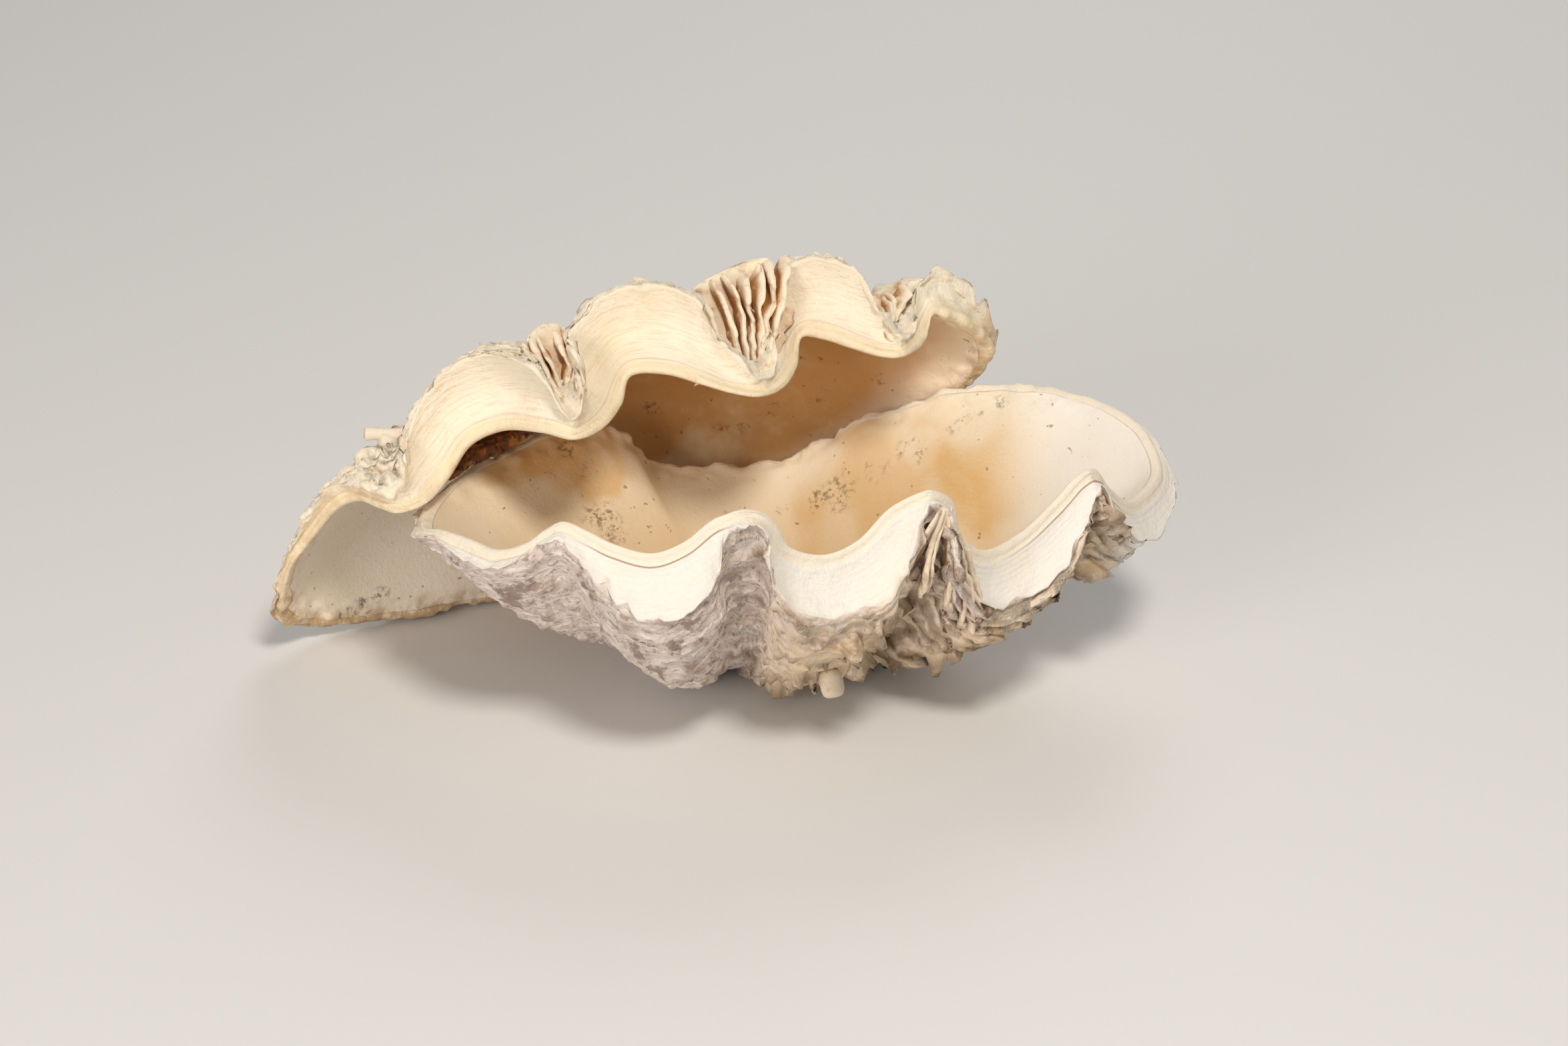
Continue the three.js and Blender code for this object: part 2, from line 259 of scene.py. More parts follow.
def outside_rows(valve, place, outer, way, detail):
    """The outside from the beak to the lip's edge: between two old margins the wall rises into the older
    one's frill and drops back. With its rows come their shares of the way and the depth of the gaps."""
    margins = old_margins(valve)
    rows, lift, gap = [], [], []
    for number, (low, high) in enumerate(zip(np.r_[0.0, margins[:-1]], margins)):
        today = number == len(margins) - 1
        worn = mix(EARLY_FRILL, 1, ramp(0.35, 0.95, high))
        for share in FRILL_ROWS:
            rows.append(mix(low, high, max(share, FRILL_BACK)))
            lift.append(0.0 if today else share**3 * worn)
            # Rows near a frill's foot lie deep in a gap, which the finish darkens as painted shade.
            gap.append((1 - ramp(0.3, 0.95, share)) * (number > 0))
    rows, lift, gap = (np.array(v)[:, None] for v in (rows, lift, gap))
    line = spread(place * STATION_SCALE, rows * GROWTH_SCALE, 0.0)
    wobble = layered(line, MARGIN_WOBBLE) * np.minimum(rows, 1 - rows)
    at = np.clip(rows + wobble * detail, 0, 1)
    far = np.linalg.norm(way, axis=1)
    tops, pages = valve["frill"](place[None], at)
    frill = tops * far + pages
    height = lift * frill * np.clip(1 + layered(line, RAGGED_FRILLS), 0, 2) * detail
    outside = cubic(outer, at) + way / far[:, None] * height[..., None]
    return outside, rows, gap * np.clip(0.15 + 0.2 * frill, 0, 1)


def valve_rows(valve, detail):
    """The valve's surface as rows of points from the beak over the outside, the lip and the rim to the
    bottom of the bowl, each row once round the valve, with what is known of each point."""
    stations = valve["stations"]
    place = np.arange(COLUMNS) / COLUMNS * len(stations)
    outer, inner = cross_cuts(valve, place)
    ridge, edge = inner[0], outer[3]
    drop = edge - ridge
    length = np.linalg.norm(drop, axis=1)
    even_drop = softened(drop[None], np.ones(1))[0]
    outside, rows, gap = outside_rows(valve, place, outer, even_drop, detail)

    # The lip, from its edge up to the ridge, and the inside from the ridge down to the bowl.
    steps = np.linspace(0, 1, LIP_ROWS + 1)[1:-1, None]
    rounded = np.minimum(RIM_ROUND / length, RIM_LIMIT)
    start = mix(ridge, edge, rounded[:, None])
    end = cubic(inner, [RIM_INSIDE])[0]
    lip = mix(edge, start, steps[..., None])
    bend = np.linspace(0, 1, RIM_ROWS)[:, None]
    one_side, top, other_side = ((1 - bend) ** 2, 2 * bend * (1 - bend), bend**2)
    rim = one_side[..., None] * start + top[..., None] * ridge + other_side[..., None] * end
    inside_at = mix(RIM_INSIDE, 1, np.linspace(0, 1, INNER_ROWS + 2)[1:-1] ** INNER_CROWD)
    inside = softened(cubic(inner, inside_at), ramp(0.12, 0.5, inside_at))
    counts = (len(rows), len(steps), RIM_ROWS, INNER_ROWS)

    def known(*values):
        """A value for every point, from one for each of the outside, the lip, the rim and the inside."""
        parts = zip(values, counts)
        return np.concatenate([np.broadcast_to(value, (count, COLUMNS)) for value, count in parts])

    marks = {
        "place": known(place, place, place, place),
        "tier": known(rows, 1 + steps, 2.0, 2 + inside_at[:, None]),
        "gap": known(gap, 0.0, 0.0, 0.0),
        "from_ridge": known(FAR, (1 - steps * (1 - rounded)) * length, 0.0, FAR),
        "rim": known(0.0, 0.0, 1 - bend, 0.0),
        "down_lip": known(0.0, 1 - steps, 0.0, 0.0),
        "lip_length": known(length, length, length, length),
    }
    return np.concatenate([outside, lip, rim, inside]), marks, drop / length[:, None]


def surface_normals(points):
    """The unit normal, into the shell, of every point of a grid of rows that close round the valve."""
    along = np.roll(points, -1, axis=1) - np.roll(points, 1, axis=1)
    across = np.gradient(points, axis=0)
    normal = np.cross(along, across)
    return normal / np.maximum(np.linalg.norm(normal, axis=2, keepdims=True), 1e-9)


LUMPS = ((0.75, 9, 1), (0.55, 4, 2), (0.45, 1.9, 3))
WIDE_PITS = 1.8  # depths
FINE_PITS = 1.1
LUMPS_KEPT = (0.85, 2.1)  # share of the lumps' height on worn shell, and on crust
PITS_KEPT = (0.7, 1.25)  # and of the pits' depth
LAYER_HEIGHT = 0.7  # steps of the worn layers, which run along the margin
LAYER_SCALE = (0.8, 42)  # of place and tier
GROWTH_LINES = 300  # fine growth lines from beak to margin, as an angle
LINE_HEIGHT = 0.24
CREASES = 4.1  # fine lines along the lip, as an angle for each millimetre
CREASE_HEIGHT = 0.1
FLUTE_HEIGHT = 0.5  # shallow flutes across the lip
FLUTE_SCALE = (2.4, 0.8)
HINGE_KNOBS = ((1.3, 6, 18), (1.1, 2.5, 19))
INSIDE_SWELLS = ((0.25, 16, 14), (0.05, 3, 15))
BROKEN_EDGE = ((1.3, 1.1, 16), (0.5, 0.16, 20))  # along the lip's edge, with lumps in stations
CHIP_HEIGHT = 1.1
CHIP_SIZE = 0.5
HINGE_BREAK = 1.2  # how much more the hinge edge is broken
BREAK_REACH = 0.35  # share of the lip that moves with its broken edge


def outside_relief(crust, points, place, tier):
    """Lumps, pits and growth lines of the outside, and how deep its pits are."""
    wide = ramp(0.3, 0.6, grain(points, 6, 4)) * WIDE_PITS
    pits = wide + ramp(0.3, 0.5, grain(points, 2.6, 9)) * FINE_PITS
    wander = 7 * grain(points, 14, 10)
    lines = LINE_HEIGHT * np.sin(tier * GROWTH_LINES + wander) * (0.5 + grain(points, 8, 21))
    layers = grain(spread(place * LAYER_SCALE[0], tier * LAYER_SCALE[1], 0.0), 1, 22)
    lumps = layered(points, LUMPS) + (1 - crust) * (LAYER_HEIGHT * layers + lines)
    return mix(*LUMPS_KEPT, crust) * (lumps - pits * mix(*PITS_KEPT, crust)), pits


def lip_relief(valve, points, marks, band):
    """The proud cream band, fine creases along the lip, shallow flutes across it, and the swell of it."""
    place, tier, down = marks["place"], marks["tier"], marks["down_lip"]
    creases = CREASE_HEIGHT * np.sin(marks["from_ridge"] * CREASES + 2.2 * grain(points, 9, 12))
    flutes = FLUTE_HEIGHT * grain(spread(place * FLUTE_SCALE[0], tier * FLUTE_SCALE[1], 0.0), 1, 13)
    swell = np.sin(np.pi * down) * marks["lip_length"] * valve["swell"]
    return valve["band_rise"] * band + creases + flutes * down + swell


def sculpted(valve, points, marks, lip_way):
    """The valve's points with their finer relief and a broken lip edge. Adds the marks of the relief."""
    normal = surface_normals(points)
    tier, place = marks["tier"], marks["place"]
    outside = 1 - ramp(0.99, 1.01, tier)
    on_lip = ramp(1.0, 1.02, tier) * (1 - ramp(1.97, 2.0, tier))
    inside = ramp(2.0, 2.03, tier)
    crust = valve["crust"](place, tier) * outside
    band = 1 - ramp(BAND - 0.5, BAND + 0.3, marks["from_ridge"])
    relief, pits = outside_relief(crust, points, place, tier)
    rise = outside * relief + on_lip * lip_relief(valve, points, marks, band)
    rise = rise + valve["band_rise"] * marks["rim"]
    knobbly = valve["hinge"](place) * ramp(0.9, 1.6, tier) * (1 - ramp(2.03, 2.2, tier))
    rise = rise + knobbly * layered(points, HINGE_KNOBS) + inside * layered(points, INSIDE_SWELLS)
    points = points - normal * rise[..., None]

    edge_run = spread(place, 0.0, 0.0)
    broken = layered(edge_run, BROKEN_EDGE) + CHIP_HEIGHT * np.abs(grain(edge_run, CHIP_SIZE, 17))
    broken = broken * (1 + HINGE_BREAK * valve["hinge"](place)) + valve["thorns"](place)
    lip_part = np.clip(1 - np.abs(tier - 1) / BREAK_REACH, 0, 1) * (tier >= 1)
    near_edge = lip_part + (tier < 1) * ramp(0.985, 1.0, tier)
    points = points + lip_way * (broken * near_edge * valve["edge_break"])[..., None]
    marks["band"] = band * on_lip + (marks["from_ridge"] == 0)
    marks["crust"] = crust
    # The pits' depth, which the finish darkens as painted shade.
    marks["pit"] = outside * np.clip(pits * (0.4 + 0.8 * crust), 0, 1)
    return points


def set_down(valve, points, plain):
    """Turns the valve's points into the frame, in metres, so that the plain surface fits its node."""
    turn = np.array(valve["turn"].to_matrix())
    local = points * (1, 1, valve["side"])
    basis = plain * (1, 1, valve["side"])
    world = local @ turn.T / 1000
    shape = (basis @ turn.T / 1000).reshape(-1, 3)
    low, high = (np.array(corner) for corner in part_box(valve["name"]))
    middle = (low + high) / 2 - (shape.min(0) + shape.max(0)) / 2
    shift = np.array([middle[0], middle[1], high[2] - shape[:, 2].max()])
    world = world + shift
    world[..., 2] = np.maximum(world[..., 2], 0)
    return world


def keep_mark(piece, name, value):
    """Keeps a number for every point of the piece's mesh as an attribute, for the finish to read."""
    attribute = piece.data.attributes.new(name, "FLOAT", "POINT")
    attribute.data.foreach_set("value", value.astype(np.float32).ravel())


def grid_piece(name, rings, marks):
    """A closed mesh from rings of points, each ring's last point on its first, and its marks."""
    rows, columns = rings.shape[:2]
    bpy.ops.object.select_all(action="DESELECT")
    bpy.ops.mesh.primitive_grid_add(x_subdivisions=columns - 1, y_subdivisions=rows - 1)
    piece = bpy.context.object
    piece.name = name
    piece.data.vertices.foreach_set("co", rings.astype(np.float32).ravel())
    for mark_name, value in marks.items():
        keep_mark(piece, mark_name, value)
    bpy.ops.object.mode_set(mode="EDIT")
    bpy.ops.mesh.select_all(action="SELECT")
    bpy.ops.mesh.remove_doubles(threshold=1e-6)
    bpy.ops.mesh.normals_make_consistent(inside=False)
    bpy.ops.object.mode_set(mode="OBJECT")
    bpy.ops.object.shade_smooth()
    return piece


def valve_piece(valve):
    """The finished valve as one closed mesh with its marks."""
    plain = valve_rows(valve, 0.0)[0]
    points, marks, lip_way = valve_rows(valve, 1.0)
    points = sculpted(valve, points, marks, lip_way)
    world = set_down(valve, points, plain)
    beak, bowl = set_down(valve, np.array([[valve["beak"], valve["bowl"]]], float), plain)[0]
    rings = np.concatenate([world, world[:, :1]], axis=1)
    first, last = (np.broadcast_to(end, rings[:1].shape) for end in (beak, bowl))
    closed_marks = {}
    for name, value in marks.items():
        value = np.concatenate([value, value[:, :1]], axis=1)
        closed_marks[name] = np.concatenate([value[:1], value, value[-1:]])
    return grid_piece(valve["name"] + "_shell", np.concatenate([first, rings, last]), closed_marks)


class Socket:
    """A shader socket that arithmetic can be written with."""

    def __init__(self, tree, link):
        self.tree = tree
        self.link = link

    def node(self, kind, settings=(), output=0, **inputs):
        """Adds a node of this kind, and gives one of its outputs. An input is i and a number, or a name."""
        made = self.tree.nodes.new(kind)
        for key, value in dict(settings).items():
            setattr(made, key, value)
        for key, value in inputs.items():
            slot = made.inputs[int(key[1:]) if key[1:].isdigit() else key]
            if isinstance(value, Socket):
                self.tree.links.new(value.link, slot)
            else:
                slot.default_value = value
        return Socket(self.tree, made.outputs[output])

    def math(self, operation, other=0.0):
        return self.node("ShaderNodeMath", {"operation": operation}, i0=self, i1=other)

    def __add__(self, other):
        return self.math("ADD", other)

    def __mul__(self, other):
        return self.math("MULTIPLY", other)

    def __sub__(self, other):
        return self.math("SUBTRACT", other)

    def __rsub__(self, other):
        return self.node("ShaderNodeMath", {"operation": "SUBTRACT"}, i0=other, i1=self)

    __radd__ = __add__

    def ramp(self, low, high):
        """0 below low, 1 above high, smooth between."""
        settings = {"interpolation_type": "SMOOTHSTEP"}
        return self.node("ShaderNodeMapRange", settings, i0=self, i1=low, i2=high)

    def paint(self, colour, share):
        """This colour with another over it, as thick as share."""
        if not isinstance(colour, Socket):
            colour = (*colour, 1)
        mixed = {"data_type": "RGBA", "clamp_factor": True}
        return self.node("ShaderNodeMix", mixed, 2, i0=share, i6=self, i7=colour)

    def noise(self, scale, detail=4.0, rough=0.55):
        """Soft noise on these coordinates, from 0 to 1."""
        return self.node("ShaderNodeTexNoise", Vector=self, Scale=scale, Detail=detail, Roughness=rough)


def new_finish(name):
    """A material with a Principled shader, and a socket of the piece's own coordinates."""
    material = bpy.data.materials.new(name)
    material.use_nodes = True
    tree = material.node_tree
    shader = tree.nodes["Principled BSDF"]
    here = Socket(tree, tree.nodes.new("ShaderNodeTexCoord").outputs["Object"])
    return material, shader, here


def mark(here, name):
    """A mark that the piece's mesh carries."""
    return here.node("ShaderNodeAttribute", {"attribute_name": name}, 2)


def plain_colour(here, colour):
    """A colour that is the same all over, to paint others on."""
    made = here.tree.nodes.new("ShaderNodeRGB")
    made.outputs[0].default_value = (*colour, 1)
    return Socket(here.tree, made.outputs[0])


SEAM = 5.0  # the dark seam's way from the ridge, just past the cream band
SEAM_HALF = (0.05, 0.42)  # half its width, at its full darkness and where it ends


def shell_finish(name, colours):
    """Shell: satin cream inside with tan stains and tan painted shade, white or cream lips, and outside worn
    grey chalk or brown crust with painted shade in its gaps and pits.
    """
    material, shader, here = new_finish(name)
    tier, gap, band, crust, pit = (mark(here, n) for n in ("tier", "gap", "band", "crust", "pit"))
    from_ridge, painted_shade_and_stain, stain, fresh = (mark(here, n) for n in ("from_ridge", "painted_shade_and_stain", "stain", "fresh"))
    rust, bare = mark(here, "rust"), mark(here, "bare")
    grown = here.node("ShaderNodeCombineXYZ", X=mark(here, "place") * 1.1, Y=tier * 55)
    cloud = here.noise(28, 3)
    fleck = here.noise(260, 5, 0.65)
    fine = here.noise(900, 3, 0.6)

    outside = plain_colour(here, colours["chalk"])
    outside = outside.paint(colours["grey"], cloud.ramp(0.35, 0.65) * 0.7)
    outside = outside.paint(colours["crust"], crust * (fleck.ramp(0.3, 0.62) + 0.45))
    outside = outside.paint(colours["lip"], fresh * fleck.ramp(0.7, 0.45))
    worn = (1 - fresh) * (1 - crust * 0.8)
    outside = outside.paint(colours["pale"], grown.noise(1.6, 4, 0.65).ramp(0.48, 0.6) * worn * 0.9)
    outside = outside.paint(colours["blot"], grown.noise(2.1, 5, 0.75).ramp(0.52, 0.6) * worn * 0.7)
    outside = outside.paint(colours["blot"], here.noise(85, 6, 0.7).ramp(0.56, 0.63) * worn * 0.85)
    # Painted shade in the gaps at the frills' feet and in the pits, broken up by flecks and kept off the
    # fresh margin.
    dirt_and_painted_shade = (gap * 0.7 + pit * 0.6) * fleck.ramp(0.25, 0.55) * (1 - fresh * 0.95)
    outside = outside.paint(colours["dark"], dirt_and_painted_shade)

    lip = plain_colour(here, colours["lip"])
    lip = lip.paint(colours["band"], band * 0.8)
    lip = lip.paint(colours["band"], here.noise(45, 4).ramp(0.45, 0.75) * 0.6)
    strata = here.node("ShaderNodeCombineXYZ", X=mark(here, "place") * 0.9, Y=from_ridge * 1.3)
    lip = lip.paint(colours["tan"], strata.noise(1.5, 4, 0.6).ramp(0.5, 0.66) * colours["strata"])
    lip = lip.paint(colours["crust"], fleck.ramp(0.6, 0.8) * 0.3 + rust * (fleck.ramp(0.35, 0.6) + 0.2))
    seam = (1 - (from_ridge - SEAM).math("ABSOLUTE").ramp(*SEAM_HALF)) * mark(here, "seam")
    lip = lip.paint(colours["seam"], seam * 0.85)

    inside = plain_colour(here, colours["cream"])
    # Tan painted shade deep in the inside, and tan stains.
    inside = inside.paint(colours["tan"], painted_shade_and_stain * (0.6 + cloud * 0.75))
    inside = inside.paint(colours["band"], here.noise(34, 4, 0.6).ramp(0.45, 0.7) * 0.6)
    inside = inside.paint(colours["lip"], bare)
    inside = inside.paint(colours["crust"], fleck.ramp(0.56, 0.74) * 0.35)
    inside = inside.paint(colours["stain"], here.noise(420, 2, 0.5).ramp(0.7, 0.74) * 0.6)
    inside = inside.paint(colours["crust"], rust * (1 - tier.ramp(2.02, 2.16)) * fleck.ramp(0.35, 0.6))
    inside = inside.paint(colours["stain"], stain * here.noise(650, 4, 0.7).ramp(0.46, 0.62) * 0.75)

    colour = outside.paint(lip, tier.ramp(0.995, 1.005))
    colour = colour.paint(inside, tier.ramp(2.0, 2.06))
    inner = tier.ramp(2.0, 2.05)
    relief = fine * 0.25 + fleck * (1 - inner * 0.85)
    here.tree.links.new(colour.link, shader.inputs["Base Color"])
    rough = 0.78 - inner * 0.33 - band * 0.12 + fleck * 0.1
    here.tree.links.new(rough.link, shader.inputs["Roughness"])
    bump = here.node("ShaderNodeBump", (), Strength=0.7, Distance=0.0011, Height=relief)
    here.tree.links.new(bump.link, shader.inputs["Normal"])
    shader.inputs["Specular IOR Level"].default_value = 0.4
    return material


def paint_marks(valve, piece):
    """Adds the marks of the finish that follow from where a point lies on the valve and in the frame."""
    count = len(piece.data.vertices)
    read = {}
    for name in ("place", "tier"):
        read[name] = np.zeros(count, np.float32)
        piece.data.attributes[name].data.foreach_get("value", read[name])
    at = np.zeros(count * 3, np.float32)
    piece.data.vertices.foreach_get("co", at)
    at = at.reshape(-1, 3).astype(float) * 1000
    for name, rule in valve["paint"].items():
        value = np.clip(rule(read["place"], read["tier"], at), 0, 1)
        keep_mark(piece, name, value)


def thorns(place, spikes):
    """Spikes of the lip's edge, and chips out of it where far is negative: place, far and wide of each."""
    return sum(far * np.clip(1 - np.abs(place - at) / wide, 0, 1) for at, far, wide in spikes)


def between(place, start, end, soft=1.0):
    """1 between two places along the margin, 0 away from them."""
    return ramp(start - soft, start + soft, place) * (1 - ramp(end - soft, end + soft, place))


def spots(at, centres):
    """Blots round the given points, each x, y, z and how far it spreads, with ragged outlines."""
    total = 0
    for *centre, wide in centres:
        away = np.linalg.norm(at - centre, axis=1) / wide
        total = total + 1 - ramp(0.5, 1.0, away + 0.5 * grain(at, wide * 0.45, 31))
    return total


def ring_marks(at, centres):
    """Dark rings, each a ragged blot with its middle taken out: x, y, z, how far it and its hole spread."""
    total = 0
    for *centre, wide, hole in centres:
        total = total + spots(at, [(*centre, wide)]) - 1.2 * spots(at, [(*centre, hole)])
    return total


LOWER["edge_break"] = 1.0
LOWER["swell"] = 0.1
LOWER["band_rise"] = 0.6
LOWER["hinge"] = lambda place: between(place, 34, 53, 2)
LOWER_THORNS = [
    (31.4, 4, 0.2), (30.2, 2, 0.3), (32.5, 2, 0.25), (33.3, 3, 0.25), (34.2, 1.5, 0.3),
    (35.1, 3.5, 0.25), (36.3, 2, 0.3), (37.3, 3, 0.25), (38.4, 2, 0.3),
]
LOWER_CHIPS = [
    (7.9, -2.5, 0.2), (8.5, -3, 0.25), (9.2, -1.8, 0.2), (10.9, -1.8, 0.2), (16.0, -1.5, 0.2),
    (18.7, -2.2, 0.25), (24.5, -2.2, 0.3), (26.1, -2.8, 0.25),
]
LOWER["thorns"] = lambda place: thorns(place, LOWER_THORNS + LOWER_CHIPS)
LOWER_PAGES = ((11.5, 15.0, 1), (20.2, 23.4, 1.5), (27.4, 29.6, 1))  # grooves with stacked old lips
ALONG_GROOVES = (0.5, 0.85)  # from and to where on the way from beak to margin those lips come up


def lower_frill(place, at):
    """How far old lips stand out: a share of today's lip on the ribs, and millimetres in the grooves."""
    pages = sum(between(place, start, end, 0.7) * far for start, end, far in LOWER_PAGES)
    tops = 0.03 + 0.16 * between(place, 22, 29, 2) + 0.12 * between(place, 33, 46, 2)
    return tops, pages * ramp(*ALONG_GROOVES, at)


def lower_crust(place, tier):
    """Lumpy crust on the right half, thinner towards the margin and in the groove where the pages are."""
    thinner = 0.5 * ramp(0.85, 1.0, tier) + 0.45 * between(place, 20, 23.4, 0.8) * ramp(0.5, 0.8, tier)
    return between(place, 15.5, 30, 2) * (1 - thinner)


# Pools of painted shade and stains inside, in the frame's millimetres: x, y, z and how far each spreads.
# Tan painted shadow low on the back of the bowl, where the upper valve leans over it.
LOWER_PAINTED_SHADOWS = [(80, 18, 46, 20), (44, 22, 46, 26)]
LOWER_LEFT_STAINS = [(-60, 14, 58, 13), (-48, 17, 56, 12), (-36, 20, 50, 14)]
LOWER_STAINS = [
    (-33.9, 9.8, 39.8, 6.5), (-29, 6, 36, 3.5), (-37.4, 19.7, 50.6, 2.4), (-38.5, 17, 49, 1.8),
    (-44.2, 21.2, 55.8, 4), (33.3, 22.8, 41.3, 6), (27, 23.5, 38, 3.5), (17.1, 25.1, 34.4, 2.2),
    (65.6, 24.4, 61, 1.6), (69, 25.5, 62.5, 1.3), (73, 27, 64, 1.5), (78.8, 29.1, 66.2, 1.8),
    (2, 24, 33, 1.8), (-48, 14, 50, 1.8), (-52, 8, 50, 1.5), (50, 6, 40, 1.4), (-12, 4, 28, 1.6),
]
LOWER_RINGS = [(44, 21.9, 48, 4, 2.6), (53.3, 22.7, 54.5, 4, 2.8)]
WELL_INSIDE = 2.03  # tier past the rounded ridge


def lower_painted_shade_and_stain(place, tier, at):
    """Painted shade: tan deepening towards the bottom of the bowl and in pools on the back of it, fading out
    at the bare right end; and real tan stains near the left end.
    """
    bowl = (ramp(2.1, 2.7, tier) + spots(at, LOWER_PAINTED_SHADOWS)) * 0.6
    return bowl * (1 - ramp(70, 100, at[:, 0])) + 0.7 * spots(at, LOWER_LEFT_STAINS)


LOWER["frill"] = lower_frill
LOWER["crust"] = lower_crust
LOWER["paint"] = {
    "painted_shade_and_stain": lower_painted_shade_and_stain,
    "fresh": lambda place, tier, at: ramp(0.78, 0.84, tier) * between(place, 29.3, 40, 0.6),
    "rust": lambda place, tier, at: 0.45 * between(place, 40, 53, 2),
    "bare": lambda place, tier, at: ramp(72, 100, at[:, 0]) * 0.9,
    "seam": lambda place, tier, at: between(place, 7, 12, 1) + between(place, 25, 29.5, 1),
    "stain": lambda place, tier, at: (tier > WELL_INSIDE) * (
        spots(at, LOWER_STAINS) + ring_marks(at, LOWER_RINGS)
    ),
}
lower_shell = valve_piece(LOWER)
paint_marks(LOWER, lower_shell)
lower_shell.data.materials.append(shell_finish("lower_shell", {
    "chalk": (0.78, 0.68, 0.61),
    "grey": (0.7, 0.58, 0.52),
    "pale": (0.9, 0.82, 0.75),
    "crust": (0.86, 0.68, 0.46),
    # Dark: the painted shade in the gaps and pits of the outside.
    "dark": (0.22, 0.135, 0.075),
    "blot": (0.3, 0.215, 0.18),
    "strata": 0.12,
    "lip": (0.88, 0.84, 0.78),
    "band": (0.88, 0.79, 0.64),
    "seam": (0.35, 0.2, 0.08),
    "cream": (0.85, 0.73, 0.54),
    # Tan: the painted shade and stains of the inside, and the strata of the lips.
    "tan": (0.72, 0.46, 0.19),
    "stain": (0.16, 0.1, 0.05),
}))
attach(lower_shell, "root")
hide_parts("lower_valve")

# ---- Pages of the lower valve --------------------------------------------------------
# What is left of the valve's older lips in two of its grooves: thin sheets of the same shell, grown as part
# of the valve, that stand on edge and fan out from the groove's bottom to where the scutes beside it end.
PAGE_RINGS = 40
PAGE_SIDES = 36
PAGE_END = 0.1  # share of a sheet's height over which its head is rounded
PAGE_LEAN = 0.86  # share of the way from beak to margin that the sheets run back towards
PAGE_HEIGHT = (0.86, 1.02)  # shares of the way to the scutes' ends, least and most
PAGE_THICK = (1.3, 2.3)
PAGE_SCATTER = 0.03  # how uneven the sheets are spaced, as a share of the groove
FOOT_FAN = 0.22  # width of the sheets' feet together, as a share of that of their heads
FOOT_BACK = 1.5
FOOT_SUNK = 0.08  # share of its height that a sheet goes into the groove's bottom
WEB_BACK = 8
WEB_THICK = 1.6
WEB_HIDDEN = 0.35


def tube_piece(name, rings, hidden=0.0):
    """A tube with closed ends from rings of points. How hidden each point is, from 0 to 1, is kept."""
    first, last = (np.broadcast_to(ring.mean(0), ring.shape) for ring in (rings[0], rings[-1]))
    rings = np.concatenate([first[None], rings, last[None]])
    return grid_piece(name, rings, {"hidden": np.broadcast_to(hidden, rings.shape[:2])})


def joined(name, pieces):
    """The pieces as one object."""
    bpy.ops.object.select_all(action="DESELECT")
    for piece in pieces:
        piece.select_set(True)
    bpy.context.view_layer.objects.active = pieces[0]
    bpy.ops.object.join()
    pieces[0].name = name
    return pieces[0]


def squared_sine(angle):
    """The sine of an angle with its curve pushed out towards a square."""
    return np.sign(np.sin(angle)) * np.abs(np.sin(angle)) ** 0.6


def page(foot, head, back, thick, deep, seed):
    """Rings of one sheet that stands from foot to head, goes deep to the back, and is wavy and chipped."""
    share = np.linspace(0, 1, PAGE_RINGS)[:, None]
    angle = np.linspace(0, 2 * np.pi, PAGE_SIDES + 1)[None]
    tall = np.linalg.norm(head - foot)
    side = np.cross(head - foot, back)
    side = side / np.linalg.norm(side)
    centre = mix(foot, head, share[..., None]) + back * deep / 2
    flat = spread(share * tall, np.cos(angle) * deep / 2, 0.0)
    chipped = 1 + layered(flat, ((0.3, 5, seed), (0.2, 1.8, seed + 1)))
    wave = 1.4 * grain(flat * (1, 0.5, 1), 8, seed + 2) + 0.35 * grain(flat, 2.5, seed + 3)
    end = np.sqrt(np.clip(1 - np.clip(share - (1 - PAGE_END), 0, 1) / PAGE_END, 0.02, 1))
    reach = np.cos(angle) * deep / 2 * chipped * end
    bulge = squared_sine(angle) * thick / 2 * end + wave * np.sin(np.pi * share / 1.6)
    return centre + reach[..., None] * back + side * bulge[..., None]


def pages_in_groove(valve, plain, groove, number, behind, seed, reach=1.0, web=0, deep=9.0):
    """The sheets in the groove between two places on the scutes beside it, which reach that share of the
    way, and across the groove behind them the web of an old lip, as wide as its share of the groove."""
    left, right, bottom = groove
    draw = np.random.default_rng(seed)
    lips = lip_edge(valve, np.array([left, right, bottom]))
    outer = cross_cuts(valve, np.array([bottom]))[0]
    back = cubic(outer, [PAGE_LEAN])[0, 0] - outer[3][0]
    back = back / np.linalg.norm(back)
    across = lips[1] - lips[0]
    height = np.r_[0, np.linspace(0, 1, PAGE_RINGS), 1]
    # How hidden a sheet's points are: more towards the back of the groove and its foot, which the finish
    # darkens as painted shade.
    hidden = ramp(-1.0, -0.2, np.cos(np.linspace(0, 2 * np.pi, PAGE_SIDES + 1)))
    hidden = np.outer(1 - ramp(0.75, 0.97, height), hidden)
    made = []
    for index in range(number):
        share = (index + 0.5) / number
        head = mix(lips[0], lips[1], share + draw.uniform(-PAGE_SCATTER, PAGE_SCATTER)) + back * behind
        foot = lips[2] + across * (share - 0.5) * FOOT_FAN + back * (behind + FOOT_BACK)
        head = mix(foot, head, draw.uniform(*PAGE_HEIGHT) * reach)
        foot = foot - (head - foot) * FOOT_SUNK
        sheet = page(foot, head, back, draw.uniform(*PAGE_THICK), deep, seed + index * 5)
        made.append(tube_piece("page", set_down(valve, sheet, plain), hidden))
    if web:
        wide = np.linalg.norm(across) * web
        start = back * (behind + WEB_BACK) - across * web / 2
        top = mix(lips[0], lips[1], 0.5) + start
        sheet = page(lips[2] + start, top, across / np.linalg.norm(across), WEB_THICK, wide, seed + 90)
        made.append(tube_piece("page", set_down(valve, sheet, plain), hidden * WEB_HIDDEN))
    return made


